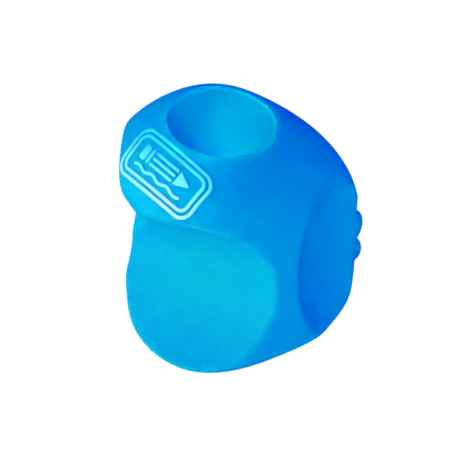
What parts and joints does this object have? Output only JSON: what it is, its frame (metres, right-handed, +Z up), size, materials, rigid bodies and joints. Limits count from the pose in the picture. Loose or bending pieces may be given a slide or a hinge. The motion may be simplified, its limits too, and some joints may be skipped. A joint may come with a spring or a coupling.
{
  "type": "pencil grip",
  "caption": "Soft rounded sleeve for a pencil, with a shallow dish for each finger, an overhanging brow and a raised badge with a pencil sign.",
  "frame": {"origin": "on the pencil bore's axis, in the plane of the flat lower face", "axes": "+Z up the pencil bore, away from the pencil's point; -Y out of the thumb dish; +X towards the first-finger dish"},
  "size_m": [0.0188, 0.0193, 0.0173],
  "materials": {
    "blue_silicone": "soft, slightly translucent blue silicone, satin",
    "pale_silicone": "pale blue silicone, satin"
  },
  "bodies": {
    "root": {"grip_body": "blue_silicone", "badge_outer_rim": "pale_silicone", "badge_inner_rim": "pale_silicone", "badge_eraser": "pale_silicone", "badge_ferrule": "pale_silicone", "badge_barrel": "pale_silicone", "badge_tip": "pale_silicone", "badge_line": "pale_silicone"}
  },
  "joints": []
}
